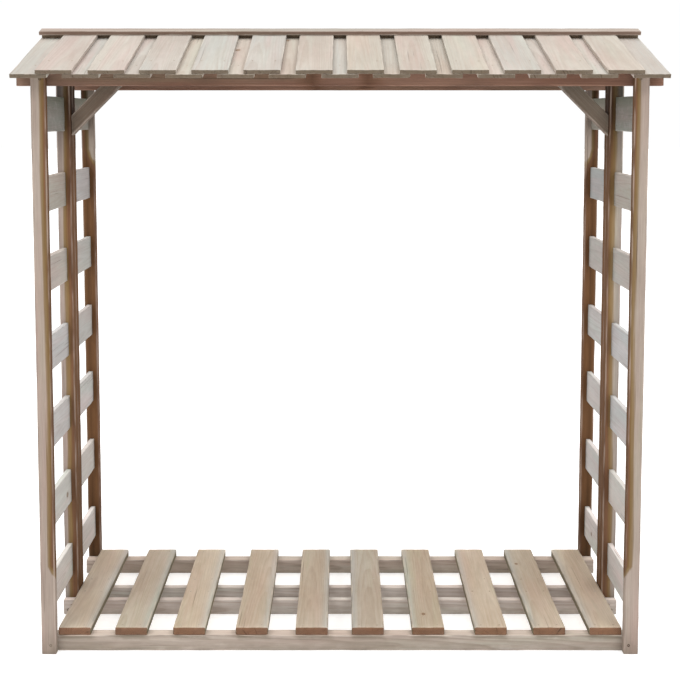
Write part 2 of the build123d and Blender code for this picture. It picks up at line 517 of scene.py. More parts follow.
    # Heartwood, with an olive margin
    inside = g.math("SUBTRACT", t_heart, g.math("MULTIPLY_ADD", g.math("SUBTRACT", streak, 0.5), 0.010, rho))
    heart_mask = g.ramp(inside, -0.002, 0.003)
    rim = g.math("MULTIPLY", g.ramp(inside, -margin, -0.3 * margin), g.ramp(inside, 0.007, 0.001))
    heart_col = g.mix(g.ramp(streak, 0.3, 0.7), linear(heart), linear([c * 0.80 for c in heart]))
    heart_col = g.mix(g.ramp(inside, 0.008, 0.017), heart_col, linear(core))
    heart_col = g.mix(g.math("MULTIPLY", band, 0.5), heart_col, linear([c * 0.66 for c in heart]))
    colour = g.mix(g.math("MULTIPLY", heart_mask, 0.92), colour, heart_col)
    colour = g.mix(g.math("MULTIPLY", rim, 0.85), colour, linear(olive))

    # Fibres
    fibre = g.math("ADD", g.math("SUBTRACT", fine, 0.5), g.math("SUBTRACT", streak, 0.5))
    gain = g.math("MULTIPLY_ADD", fibre, fibre_strength * 2.0, 1.0)
    gain = g.math("MULTIPLY", gain, g.math("MULTIPLY_ADD", g.math("SUBTRACT", grime, 0.5), 0.14, 1.0))
    gain = g.math("MULTIPLY", gain, g.math("MULTIPLY_ADD", t_light, 0.30, 1.0))
    grey = g.node("ShaderNodeCombineColor")
    g.put(grey.inputs[0], g.math("MULTIPLY", gain, g.math("MULTIPLY_ADD", t_warm, 0.060, 1.0)))
    g.put(grey.inputs[1], gain)
    g.put(grey.inputs[2], g.math("MULTIPLY", gain, g.math("MULTIPLY_ADD", t_warm, -0.075, 1.0)))
    colour = g.mix(1.0, colour, grey.outputs[0], "MULTIPLY")

    # Drying checks: short dark hairlines along the grain
    check_line = g.ramp(g.noise(g.scaled(G, (2.4, 230.0, 230.0), (5.0, 5.0, 5.0)), 1.0, 0.4), 0.70, 0.745)
    check_where = g.ramp(g.noise(g.scaled(G, (1.8, 9.0, 9.0), (8.0, 8.0, 3.0)), 1.0), 0.52, 0.62)
    check = g.math("MULTIPLY", g.math("MULTIPLY", check_line, check_where), checks)
    colour = g.mix(g.math("MULTIPLY", check, 0.75), colour, linear((70, 52, 40)))

    # Knots: a dark rim, a brown face with its own rings
    k_mask = g.ramp(k_rel, 1.10, 0.95)
    k_rim = g.math("MULTIPLY", g.ramp(k_rel, 1.30, 1.0), g.ramp(k_rel, 0.70, 0.95))
    k_rings = g.math("MULTIPLY_ADD", g.math("SINE", g.math("MULTIPLY", k_rel, 17.0)), 0.5, 0.5)
    k_col = g.mix(g.math("MULTIPLY", k_rings, 0.6), linear(knot_mid), linear(knot_dark))
    colour = g.mix(g.math("MULTIPLY", k_mask, 0.85), colour, k_col)
    colour = g.mix(g.math("MULTIPLY", k_rim, 0.75), colour, linear([c * 0.62 for c in knot_dark]))
    halo = g.math("MULTIPLY", g.ramp(k_rel, 2.6, 1.0), 0.25)
    colour = g.mix(halo, colour, linear(knot_mid))

    # End grain: browner and darker, with clear rings and fine radial cracks
    around = g.math("ARCTAN2", w2, v2)
    crack_n = g.noise(g.vec(g.math("MULTIPLY", around, 34.0), g.math("MULTIPLY", rho, 22.0), u), 1.0)
    crack = g.math("MULTIPLY", g.ramp(crack_n, 0.66, 0.72), m_end)
    end_col = g.mix(g.math("MULTIPLY", band, 0.6), linear(end_light), linear(end_dark))
    end_col = g.mix(g.ramp(grime, 0.35, 0.75, 0.0, 0.45), end_col, linear(end_dark))
    end_gain = g.node("ShaderNodeCombineColor")
    level = g.math("MULTIPLY_ADD", t_light, 0.25, 1.0)
    for i in range(3):
        g.put(end_gain.inputs[i], level)
    end_col = g.mix(1.0, end_col, end_gain.outputs[0], "MULTIPLY")
    colour = g.mix(g.math("MULTIPLY", m_end, 0.9), colour, end_col)
    colour = g.mix(g.math("MULTIPLY", crack, 0.8), colour, linear((60, 42, 30)))

    # Arrises: rubbed pale in places and bruised dark in others
    rub = g.ramp(g.noise(g.scaled(G, (9.0, 60.0, 60.0), (6.0, 2.0, 1.0)), 2.0), 0.35, 0.65)
    worn_col = linear(worn or [min(255, c * 1.12) for c in light])
    arris = g.ramp(m_edge, 0.10, 0.95)
    arris = g.math("MULTIPLY", arris, g.math("MULTIPLY_ADD", m_end, -0.9, 1.0))
    colour = g.mix(g.math("MULTIPLY", g.math("MULTIPLY", arris, rub), 0.45), colour, worn_col)
    bruise = g.math("MULTIPLY", arris, g.math("SUBTRACT", 1.0, rub))
    colour = g.mix(g.math("MULTIPLY", bruise, 0.22), colour, linear([c * 0.55 for c in mid]))

    # Damp, dirt and painted shade, where the mesh says
    wet_and_shade = g.math("MULTIPLY", m_dirt_and_shade, g.ramp(g.math("ADD", grime, g.math("MULTIPLY", m_dirt_and_shade, 0.35)), 0.35, 0.75))
    colour = g.mix(g.math("MULTIPLY", wet_and_shade, 0.8), colour, linear(dirt_and_shade_col))

    # Relief: raised late wood, fibres, saw marks across the grain, checks
    saw_warp = g.noise(g.scaled(G, (9.0, 14.0, 14.0), (2.0, 2.0, 2.0)), 2.0)
    saw_pos = g.math("MULTIPLY_ADD", saw_warp, 0.010, g.math("MULTIPLY_ADD", v, 0.10, u))
    saw = g.math("SINE", g.math("MULTIPLY", saw_pos, 2 * math.pi / 0.0042))
    saw = g.math("MULTIPLY", g.math("MULTIPLY", saw, g.ramp(blotch, 0.35, 0.65)), g.math("SUBTRACT", 1.0, m_end))
    height = g.math("MULTIPLY", band, 0.35)
    height = g.math("MULTIPLY_ADD", fine, 0.55, height)
    height = g.math("MULTIPLY_ADD", streak, 0.35, height)
    height = g.math("MULTIPLY_ADD", saw, 0.10 * sawn, height)
    height = g.math("MULTIPLY_ADD", check, -1.6, height)
    height = g.math("MULTIPLY_ADD", crack, -1.2, height)
    height = g.math("MULTIPLY_ADD", k_mask, g.math("MULTIPLY", k_rings, 0.4), height)
    height = g.math("MULTIPLY_ADD", grime, 0.25, height)
    relief = g.node("ShaderNodeBump")
    relief.inputs["Strength"].default_value = 0.75
    relief.inputs["Distance"].default_value = 0.0007 * bump
    g.put(relief.inputs["Height"], height)

    rough = g.math("MULTIPLY_ADD", g.math("SUBTRACT", fine, 0.5), 0.16, 0.80)
    rough = g.math("MULTIPLY_ADD", k_mask, -0.14, rough)
    rough = g.math("MULTIPLY_ADD", band, -0.05, rough)
    rough = g.math("MULTIPLY_ADD", m_end, 0.08, rough)

    shader = g.node("ShaderNodeBsdfPrincipled")
    g.put(shader.inputs["Base Color"], colour)
    g.put(shader.inputs["Roughness"], rough)
    g.put(shader.inputs["Normal"], relief.outputs[0])
    shader.inputs["Specular IOR Level"].default_value = gloss
    out = g.node("ShaderNodeOutputMaterial")
    g.tree.links.new(shader.outputs[0], out.inputs[0])
    return material


END_LIGHT, END_DARK = (110, 70, 46), (76, 45, 28)

roof_wood = wood(
    "roof_wood", light=(206, 196, 182), mid=(194, 180, 166), late=(172, 152, 134), heart=(160, 122, 92),
    olive=(176, 158, 124), weather=(190, 188, 178), end_light=(100, 84, 64), end_dark=(70, 55, 40),
    late_strength=0.26, weather_amount=0.55, fibre_strength=0.09, sawn=0.5, checks=0.45,
    knot_mid=(176, 146, 120), knot_dark=(132, 104, 82), cast=(0.83, 0.845, 0.87), clouds=0.42,
    pink=(210, 180, 170), green=(202, 203, 187),
)
cap_wood = wood(
    "cap_wood", light=(196, 188, 176), mid=(180, 168, 156), late=(156, 140, 124), heart=(150, 118, 92),
    olive=(166, 152, 122), weather=(176, 174, 164), end_light=(112, 96, 78), end_dark=(76, 62, 48),
    late_strength=0.35, weather_amount=0.6, fibre_strength=0.12, sawn=0.4, checks=0.7,
    knot_mid=(150, 122, 98), knot_dark=(104, 80, 62), cast=(0.92, 0.89, 0.90), dirt_and_shade_col=(96, 68, 51),
)
# The last colour, a green-grey, is painted shade for the side slats: the top row, and the ends at the posts.
side_wood = wood(
    "side_wood", light=(188, 182, 174), mid=(176, 166, 158), late=(148, 136, 124), heart=(150, 132, 108),
    olive=(158, 160, 134), weather=(170, 172, 164), end_light=(150, 122, 94), end_dark=(104, 82, 62),
    late_strength=0.32, weather_amount=0.6, fibre_strength=0.15, sawn=0.6, checks=0.7,
    knot_mid=(146, 122, 98), knot_dark=(98, 78, 60), pink=(192, 172, 164), green=(172, 180, 166), clouds=0.42,
    cast=(1.0, 1.0, 1.03), dirt_and_shade_col=(80, 86, 68),
)
# The last colour, a dark olive, is painted shade for the side faces of the floor slats.
floor_wood = wood(
    "floor_wood", light=(194, 176, 156), mid=(182, 160, 138), late=(158, 132, 108), heart=(158, 118, 84),
    olive=(168, 148, 112), weather=(178, 168, 152), end_light=END_LIGHT, end_dark=END_DARK,
    late_strength=0.28, weather_amount=0.40, fibre_strength=0.13, sawn=0.35, checks=0.5,
    knot_mid=(156, 120, 88), knot_dark=(112, 80, 56), pink=(192, 162, 144), green=(176, 174, 142), clouds=0.35, cast=(0.94, 0.99, 1.02),
    dirt_and_shade_col=(74, 68, 42),
)
post_wood = wood(
    "post_wood", light=(184, 168, 154), mid=(174, 156, 142), late=(148, 126, 108), heart=(128, 86, 56),
    olive=(134, 108, 68), weather=(176, 168, 152), end_light=END_LIGHT, end_dark=END_DARK,
    late_strength=0.34, weather_amount=0.45, fibre_strength=0.17, sawn=0.2, checks=0.8,
    pink=(190, 162, 150), green=(168, 168, 144), clouds=0.45,
    cast=(0.76, 0.765, 0.79), gloss=0.04,
)
beam_wood = wood(
    "beam_wood", light=(180, 168, 158), mid=(164, 150, 140), late=(132, 116, 104), heart=(132, 98, 74),
    olive=(142, 130, 100), weather=(162, 158, 150), end_light=(146, 120, 96), end_dark=(100, 78, 60),
    late_strength=0.48, weather_amount=0.6, fibre_strength=0.21, sawn=0.3, checks=1.0,
    pink=(178, 154, 144), green=(158, 160, 144), clouds=0.35,
    cast=(0.97, 0.97, 0.97),
)
purlin_wood = wood(
    "purlin_wood", light=(150, 114, 96), mid=(132, 96, 80), late=(104, 72, 58), heart=(112, 72, 54),
    olive=(124, 100, 76), weather=(130, 112, 98), end_light=(128, 96, 74), end_dark=(90, 64, 46),
    late_strength=0.40, weather_amount=0.35, fibre_strength=0.15, sawn=0.3, checks=0.7,
    cast=(0.80, 0.83, 0.83), pink=(112, 72, 56), green=(122, 108, 86), clouds=0.5,
)


def metal(name, colour, stain, rough):
    """Weathered zinc: a dull plate with darker blooms."""
    material = bpy.data.materials.new(name)
    g = Graph(material)
    coord = g.node("ShaderNodeTexCoord")
    spots = g.noise(coord.outputs["Object"], 3.0, 0.6, scale=420.0)
    slow = g.noise(coord.outputs["Object"], 1.0, 0.5, scale=3.0)
    bloom = g.ramp(g.math("MULTIPLY_ADD", slow, 0.6, g.math("MULTIPLY", spots, 0.6)), 0.48, 0.74)
    shader = g.node("ShaderNodeBsdfPrincipled")
    g.put(shader.inputs["Base Color"], g.mix(bloom, srgb(colour), srgb(stain)))
    shader.inputs["Metallic"].default_value = 0.75
    g.put(shader.inputs["Roughness"], g.math("MULTIPLY_ADD", bloom, 0.25, rough))
    relief = g.node("ShaderNodeBump")
    relief.inputs["Strength"].default_value = 0.4
    relief.inputs["Distance"].default_value = 0.0001
    g.put(relief.inputs["Height"], spots)
    g.put(shader.inputs["Normal"], relief.outputs[0])
    out = g.node("ShaderNodeOutputMaterial")
    g.tree.links.new(shader.outputs[0], out.inputs[0])
    return material


screw_metal = metal("screw_metal", (112, 100, 84), (70, 52, 40), 0.48)
nail_metal = metal("nail_metal", (196, 186, 172), (158, 140, 120), 0.5)


# =====================================================================
# 3. The pieces
# =====================================================================

X, Y, Z = np.eye(3)


def rect(a0, a1, b0, b1):
    return [(a0, b0), (a1, b0), (a1, b1), (a0, b1)]


def section(points, i, j):
    """The polygon of a prism's section, from its vertices and the two row axes across it."""
    flat = {tuple(np.round(p[[i, j]], 5)) for p in points}
    flat = np.array(sorted(flat))
    middle = flat.mean(axis=0)
    turn = np.arctan2(flat[:, 1] - middle[1], flat[:, 0] - middle[0])
    return flat[np.argsort(turn)]


def ground_damp(co):
    """Damp and splash marks that climb a little way from the ground."""
    return np.clip(1.0 - co[:, 2] / 0.09, 0, 1) * 0.55


def rise_from(z0, z1):
    """0 below z0, 1 above z1, smooth between."""
    def f(co):
        t = np.clip((co[:, 2] - z0) / (z1 - z0), 0, 1)
        return t * t * (3 - 2 * t)
    return f


def corner_post(node, seed):
    (pts,) = islands(node)
    lo, hi = pts.min(axis=0), pts.max(axis=0)
    sx = 1 if lo[0] > 0 else -1
    far = lo[1] > 0
    tops = [float(pts[np.isclose(pts[:, 1], y, atol=1e-4)][:, 2].max()) for y in (lo[1], hi[1])]
    slope = (tops[1] - tops[0]) / (hi[1] - lo[1])
    inner = lo[0] if sx > 0 else hi[0]
    stack = Stack()
    # The pith of a front post runs up the inner edge, so the inner face is brown heartwood, and the outer part and the foot
    # are pale. A back post is heartwood over its whole width, but for its head.
    pale_foot, low_back, eave_shade_rise = rise_from(0.17, 0.27), rise_from(0.12, 0.42), rise_from(1.35, 1.70)
    radius = 0.052 if far else 0.0205
    pale_head = rise_from(1.38, 1.46)
    outer = hi[0] if sx > 0 else lo[0]

    def streak(co):
        """A darker streak a third of the way across the post."""
        return np.exp(-(((np.abs(co[:, 0] - outer) - 0.015) / 0.008) ** 2))

    timber(
        stack, ((0, 0, 0), Z, X, Y), rect(lo[0], hi[0], lo[1], hi[1]), (0.0, 0, 0),
        (tops[0] - slope * lo[1], 0, slope), seed, r=2.2 * MM, across=11 * MM,
        pith=(outer if far else inner - sx * 0.004, (lo[1] + hi[1]) / 2),
        heart=lambda co: (radius - 0.030 * pale_head(co)) if far else (-0.03 + (0.03 + radius) * pale_foot(co)),
        # Painted shade: each post is darkened towards its head under the eaves, the back posts much more than the front
        # ones.
        light=lambda co: (0.60 - 1.2 * streak(co) - 1.3 * (1 - low_back(co)) - 0.5 * pale_head(co) if far else -0.17 * pale_foot(co)) - (1.7 if far else 0.20) * eave_shade_rise(co), warm=0.0,
        bow=(0.5 * MM, 0.3 * MM), dirt_and_shade=ground_damp, knot_r=(2.5 * MM, 5.0 * MM), knot_rate=0.15,
    )
    make_object(node, stack, post_wood, node)


def middle_post(node, seed):
    (pts,) = islands(node)
    lo, hi = pts.min(axis=0), pts.max(axis=0)
    sx = 1 if lo[0] > 0 else -1
    inner = lo[0] if sx > 0 else hi[0]
    eave_shade_rise, above_slats = rise_from(1.30, 1.68), rise_from(0.35, 0.75)

    def sapwood(co):
        return np.clip((np.abs(co[:, 0] - inner) - 0.022) / 0.008, 0, 1)

    def eave_shade_paint(co):
        """Painted shade under the roof, rising towards the head, and a fifth as strong on the outer face."""
        return eave_shade_rise(co) * (1 - 0.8 * (np.abs(co[:, 0] - inner) > 0.0405))

    stack = Stack()
    timber(
        stack, ((0, 0, 0), Z, X, Y), rect(lo[0], hi[0], lo[1], hi[1]), (lo[2], 0, 0), (hi[2], 0, 0),
        seed, r=2.2 * MM, across=11 * MM, pith=(inner - sx * 0.002, (lo[1] + hi[1]) / 2), heart=lambda co: 0.035 - 0.007 * above_slats(co),
        light=lambda co: 0.55 - 0.75 * sapwood(co) - 0.40 * (1 - above_slats(co)) - 2.75 * eave_shade_paint(co), warm=lambda co: 0.1 - 0.6 * sapwood(co), bow=(0.3 * MM, 0.2 * MM), dirt_and_shade=ground_damp,
        knots=[],
    )
    make_object(node, stack, post_wood, node)


SLATS = np.array(sorted([-c for c in (83.0, 260.5, 445.5, 617.0, 783.0)] + [83.0, 260.5, 445.5, 617.0, 783.0])) * MM
BEAM_LIGHT = {"base_beam_front": -0.30, "base_beam_middle_front": 0.60, "base_beam_middle_back": 0.6, "base_beam_back": -0.35}


def ground_beam(node, seed):
    (pts,) = islands(node)
    lo, hi = pts.min(axis=0), pts.max(axis=0)
    level = BEAM_LIGHT[node]

    def damp_and_shadow(co):
        """Damp from the ground, and a painted shadow under the ends of the slats, on the front beam only."""
        near = np.min(np.abs(co[:, 0][:, None] - SLATS[None, :]), axis=1)
        slat_end_shadow = np.clip((0.062 - near) / 0.02, 0, 1) * np.clip((co[:, 2] - hi[2] + 0.016) / 0.008, 0, 1) * (co[:, 2] < hi[2] - 1.4 * MM)
        return np.maximum(np.clip(1.0 - co[:, 2] / 0.05, 0, 1) * 0.45, slat_end_shadow * (0.65 if node == "base_beam_front" else 0.0))

    stack = Stack()
    timber(
        stack, ((0, 0, 0), X, Z, Y), rect(lo[2], hi[2], lo[1], hi[1]), (lo[0], 0, 0), (hi[0], 0, 0),
        seed, r=2.2 * MM, across=12 * MM, pith=((lo[2] + hi[2]) / 2 - 0.01, (lo[1] + hi[1]) / 2 + 0.05),
        # Painted highlight: the top face is lightened, as if lit from above.
        light=lambda co: level + 2.3 * (co[:, 2] > hi[2] - 1.4 * MM), warm=-0.5 if "middle" in node else 0.3,
        bow=(0.0, 0.4 * MM), knot_r=(3 * MM, 7 * MM), knot_rate=0.15, dirt_and_shade=damp_and_shadow,
    )
    make_object(node, stack, beam_wood, node)


FLOOR_LIGHT = (0.75, 0.22, 0.50, 0.18, -0.02, -0.08, 0.0, 0.42, 0.20, 0.70)


def floor_slat(node, seed):
    (pts,) = islands(node)
    lo, hi = pts.min(axis=0), pts.max(axis=0)
    rng = np.random.default_rng(seed)
    mid_x = (lo[0] + hi[0]) / 2
    level = FLOOR_LIGHT[int(node[-2:]) - 1]
    towards = -1 if mid_x > 0 else 1
    edge_x = mid_x + towards * (hi[0] - lo[0]) / 2
    hue = rng.uniform(-0.3, 0.3)

    def rim(co):
        """The paler, cooler sapwood along the edge that faces the middle."""
        return np.clip(1.35 - np.abs(co[:, 0] - edge_x) / 0.018, 0, 1) * (co[:, 2] > hi[2] - 0.004)

    def nose(co):
        """A lighter band along the top arris at each end."""
        return np.clip(1 - (hi[1] - np.abs(co[:, 1])) / 0.010, 0, 1) * (co[:, 2] > hi[2] - 0.003)

    stack = Stack()
    timber(
        stack, ((0, 0, 0), Y, X, Z), rect(lo[0], hi[0], lo[2], hi[2]), (lo[1], 0, 0), (hi[1], 0, 0),
        seed, r=3.4 * MM, end_r=2.2 * MM, across=14 * MM,
        pith=(mid_x + rng.uniform(-0.03, 0.03), (lo[2] + hi[2]) / 2 - rng.uniform(0.02, 0.06)),
        light=lambda co: level + 0.25 * rim(co) + 0.8 * nose(co), warm=lambda co: hue - 1.7 * rim(co), bow=(rng.uniform(-0.8, 0.8) * MM, 0.0),
        skew=rng.uniform(-0.002, 0.002), cup=rng.uniform(-0.4, 0.3) * MM, knot_r=(3 * MM, 6 * MM), knot_rate=0.25,
        # Painted shade: the side faces, below the top arris, are darkened to a dark olive.
        dirt_and_shade=lambda co: 0.95 * (np.abs(np.abs(co[:, 0] - mid_x) - (hi[0] - lo[0]) / 2) < 1.6 * MM) * np.clip((hi[2] - 2.2 * MM - co[:, 2]) / 0.004, 0, 1),
    )
    make_object(node, stack, floor_wood, node)


# From the lowest row up. Painted light and shade: the low rows are lightened as if lit from the ground, and the rows
# high under the eaves are darkened as if in the roof's shade.
ROW_LIGHT_AND_SHADE = {"front": (1.05, 0.70, 0.38, 0.32, -0.36, -0.72, -1.10), "back": (0.8, 0.45, 0.35, 0.12, 0.08, -0.05, -1.1)}
ROW_WARM = {"front": (-0.3, -0.3, -0.8, -0.85, 0.25, 0.6, -0.4), "back": (-0.3, -0.4, -0.5, -0.4, -0.5, -0.8, 0.3)}


def side_slats(node, seed):
    stack = Stack()
    bay = "back" if "back" in node else "front"
    boards = sorted(islands(node), key=lambda p: p[:, 2].min())
    for k, pts in enumerate(boards):
        lo, hi = pts.min(axis=0), pts.max(axis=0)
        rng = np.random.default_rng(seed * 37 + k)
        mid_z, mid_x = (lo[2] + hi[2]) / 2, (lo[0] + hi[0]) / 2
        level = ROW_LIGHT_AND_SHADE[bay][k] + rng.uniform(-0.10, 0.10)
        highlight_brow = hi[2] - 1.2 * MM
        timber(
            stack, ((0, 0, 0), Y, Z, X), rect(lo[2], hi[2], lo[0], hi[0]), (lo[1], 0, 0), (hi[1], 0, 0),
            seed * 37 + k, r=1.5 * MM, across=15 * MM, end_r=0.8 * MM,
            pith=(mid_z + rng.uniform(-0.03, 0.03), mid_x + rng.choice([-1, 1]) * rng.uniform(0.02, 0.07)),
            # Painted highlight: the top face of each row is lightened as if lit from above, only a little on the top
            # row under the roof.
            light=lambda co: level + (1.9 if k < 6 else 0.3) * (co[:, 2] > highlight_brow), warm=ROW_WARM[bay][k] + rng.uniform(-0.3, 0.3),
            bow=(rng.uniform(-0.6, 0.6) * MM, rng.uniform(-0.3, 0.3) * MM), skew=rng.uniform(-0.003, 0.003),
            knot_r=(4 * MM, 9 * MM),
            # Painted shade in a green-grey: over the whole top row under the eaves, strongest near its top, and on the
            # other rows towards their ends, where they meet the posts
            dirt_and_shade=(lambda co: 0.45 + 0.5 * np.clip(1 - (hi[2] - co[:, 2]) / 0.045, 0, 1)) if k == 6
            else (lambda co: 0.55 * np.clip(1 - np.minimum(co[:, 1] - lo[1], hi[1] - co[:, 1]) / 0.04, 0, 1)),
        )
    make_object(node, stack, side_wood, node)


def long_prism(node, seed, material, light=0.0, warm=0.0, r=1.8 * MM, pith=None, across=13 * MM, dirt_and_shade=None):
    """A purlin, the ridge beam or a cap board: a prism along the row's X."""
    (pts,) = islands(node)
    lo, hi = pts.min(axis=0), pts.max(axis=0)
    stack = Stack()
    timber(
        stack, ((0, 0, 0), X, Y, Z), section(pts, 1, 2), (lo[0], 0, 0), (hi[0], 0, 0), seed, r=r,
        across=across, light=light, warm=warm, pith=pith, knot_r=(3 * MM, 6 * MM), dirt_and_shade=dirt_and_shade, knot_rate=0.5,
    )
    make_object(node, stack, material, node)


def brace(node, seed):
    (pts,) = islands(node)
    lo, hi = pts.min(axis=0), pts.max(axis=0)
    sx = 1 if lo[0] > 0 else -1
    face = hi[0] if sx > 0 else lo[0]
    foot = pts[np.isclose(pts[:, 0], face, atol=1e-4)]
    low, high = foot[:, 2].min(), foot[:, 2].max()
    head = pts[np.isclose(pts[:, 2], hi[2], atol=1e-4)]
    far = head[:, 0].min() if sx > 0 else head[:, 0].max()
    run = np.array([far - face, 0, hi[2] - low])
    U = run / np.linalg.norm(run)
    W = np.array([-U[2], 0, U[0]]) if U[0] > 0 else np.array([U[2], 0, -U[0]])
    origin = np.array([face, 0, low])
    deep = (np.array([face, 0, high]) - origin) @ W
    # The foot is plumb against the post, and the head level under the ridge beam.
    start_slope = -W[0] / U[0]
    end_u = (hi[2] - low) / U[2]
    end_slope = -W[2] / U[2]
    shaded = rise_from(1.60, 1.72)
    stack = Stack()
    timber(
        stack, (origin, U, Y, W), rect(lo[1], hi[1], 0.0, deep), (0.0, 0, start_slope), (end_u, 0, end_slope),
        # Painted shade: the whole brace is darkened, as under the roof, and more so towards its head.
        seed, r=2.2 * MM, across=12 * MM, light=lambda co: -1.9 - 0.65 * shaded(co), warm=1.5, pith=(0.03, -0.02), knot_r=(3 * MM, 6 * MM),
    )
    make_object(node, stack, beam_wood, node)


def roof_boards(node, seed, upper):
    pts_all = islands(node)
    # U runs up the slope: it is the shortest long edge in a board's side face.
    climbs = [b - a for a in pts_all[0] for b in pts_all[0] if abs(b[0] - a[0]) < 1e-5 and b[2] - a[2] > 0.05]
    U = min(climbs, key=np.linalg.norm)
    U = U / np.linalg.norm(U)
    V = X
    W = np.cross(U, V)
    if W[2] < 0:
        V, W = -V, -W
    stack = Stack()
    boards = sorted(pts_all, key=lambda p: p[:, 0].min())
    count = len(boards)
    for k, pts in enumerate(boards):
        rng = np.random.default_rng(seed * 53 + k)
        pu, pv, pw = pts @ U, pts @ V, pts @ W
        slip = rng.uniform(-1.5, 1.5) * MM
        ends = (rng.uniform(-2.0, 1.0) * MM, rng.uniform(-3.0, 0.0) * MM)
        mid_v = (pv.min() + pv.max()) / 2
        timber(
            stack, ((0, 0, 0), U, V, W), rect(pv.min() + slip, pv.max() + slip, pw.min(), pw.max()),
            (pu.min() - ends[0], 0, 0), (pu.max() + ends[1], 0, 0), seed * 53 + k, r=1.4 * MM, end_r=0.7 * MM,
            across=13 * MM, along=24 * MM,
            pith=(mid_v + rng.uniform(-0.035, 0.035), pw.min() - rng.uniform(0.02, 0.09)),
            light=rng.uniform(-0.10, 0.10) + (0.0 if upper else 0.05), warm=rng.uniform(-0.5, 0.5),
            bow=(rng.uniform(-0.8, 0.8) * MM, rng.uniform(-0.3, 0.3) * MM), cup=rng.uniform(0.0, 0.9) * MM if upper else rng.uniform(-0.4, 0.1) * MM,
            skew=rng.uniform(-0.003, 0.003), knot_r=(3 * MM, 6 * MM), knot_rate=0.08,
        )
    make_object(node, stack, roof_wood, node)


def place(co, x, width):
    """1 at two places as far from the middle as x, and 0 away from them."""
    return np.exp(-(((np.abs(co[:, 0]) - x) / width) ** 2))


SEED = 100
for name in sorted(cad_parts):
    SEED += 7
    if name.startswith("post_middle"):
        middle_post(name, SEED)
    elif name.startswith("post_"):
        corner_post(name, SEED)
    elif name.startswith("base_beam"):
        ground_beam(name, SEED)
    elif name.startswith("floor_slat"):
        floor_slat(name, SEED)
    elif name.startswith("side_slats"):
        side_slats(name, SEED)
    elif name.startswith("purlin"):
        long_prism(
            name, SEED, purlin_wood,
            light=lambda co: -0.12 - 0.5 * place(co, 0.39, 0.035) - 1.5 * place(co, 0.085, 0.024), warm=lambda co: -0.4 + 1.6 * place(co, 0.085, 0.03),
        )
    elif name == "ridge_beam":
        long_prism(name, SEED, beam_wood)
    elif name.startswith("brace"):
        brace(name, SEED)
    elif name.startswith("roof_boards"):
        roof_boards(name, SEED, "upper" in name)
    elif name.startswith("ridge_cap"):
        long_prism(
            name, SEED, cap_wood, light=-0.25, r=1.2 * MM, across=11 * MM,
            # Darker along the lower edge face of each cap board.
            dirt_and_shade=lambda co: np.clip((np.abs(co[:, 1]) - 0.0415) / 0.0015, 0, 1) * 0.95,
        )


PITCH_ANGLE = math.radians(16.0)
RISE = math.tan(PITCH_ANGLE)
BOARD_STEP = (1840.0 - 104.0) / 12


def roof_top(y, layers=0):
    """Height in mm of the top of the lower boards, or of so many layers above it."""
    return 1689.0 + (451.0 - abs(y)) * RISE + layers * 12.0 / math.cos(PITCH_ANGLE)


def slope_axes(sy):
    U = np.array([0, -sy * math.cos(PITCH_ANGLE), math.sin(PITCH_ANGLE)])
    W = np.array([0, sy * math.sin(PITCH_ANGLE), math.cos(PITCH_ANGLE)])
    return U, W


# Short packers close the gaps between the upper boards, well back under the cap.
packers = Stack()
for sy in (-1, 1):
    U, W = slope_axes(sy)
    V = np.cross(W, U)
    edges = [((k - 0.5) * BOARD_STEP + 52.2, (k + 0.5) * BOARD_STEP - 52.2) for k in range(-5, 6)]
    edges += [(5.5 * BOARD_STEP + 52.2, 918.0), (-918.0, -5.5 * BOARD_STEP - 52.2)]
    for n, (x0, x1) in enumerate(sorted(edges)):
        origin = np.array([0, sy * 24.0, roof_top(24.0) + 0.1]) * MM
        a, b = sorted((x0 * V[0] * MM, x1 * V[0] * MM))
        timber(
            packers, (origin, U, V, W), rect(a, b, 0.0, 11.7 * MM), (0.0, 0, 0), (17 * MM, 0, 0),
            9000 + n + (50 if sy > 0 else 0), r=0.8 * MM, across=14 * MM, along=12 * MM, end_r=0.6 * MM,
            light=1.2, warm=0.6, knots=[], wear=0.4,
        )
make_object("ridge_packers", packers, roof_wood)


def head(verts, faces, place, normal, radius, lobes, turn, sink):
    """A small round head: an eased rim, a flat and a recess with lobes for the driver, or a slight dome for a nail."""
    n = np.asarray(normal, float)
    n = n / np.linalg.norm(n)
    a = np.cross(n, X if abs(n[0]) < 0.8 else Y)
    a = a / np.linalg.norm(a)
    b = np.cross(n, a)
    count = 24 if lobes else 14
    if lobes:
        rings = [(1.0, -1.6, 0), (1.0, -0.25, 0), (0.93, 0.0, 0), (0.60, 0.02, 0), (0.50, 0.0, 1), (0.46, -1.1, 1)]
    else:
        rings = [(1.0, -1.2, 0), (1.0, -0.1, 0), (0.85, 0.12, 0), (0.45, 0.24, 0)]
    base = len(verts)
    place = np.asarray(place, float)
    for share, high, lobed in rings:
        for k in range(count):
            t = 2 * math.pi * k / count + turn
            r = radius * share * (1 + (0.16 * math.cos(lobes * (t - turn)) if lobed else 0))
            p = place + (a * math.cos(t) + b * math.sin(t)) * r + n * (high - sink)
            verts.append(tuple(p * MM))
    verts.append(tuple((place + n * (rings[-1][1] - sink + (0 if lobes else 0.03))) * MM))
    last = len(verts) - 1
    for ring in range(len(rings) - 1):
        for k in range(count):
            j = (k + 1) % count
            faces.append((base + ring * count + k, base + ring * count + j, base + (ring + 1) * count + j, base + (ring + 1) * count + k))
    top = base + (len(rings) - 1) * count
    for k in range(count):
        faces.append((top + k, top + (k + 1) % count, last))


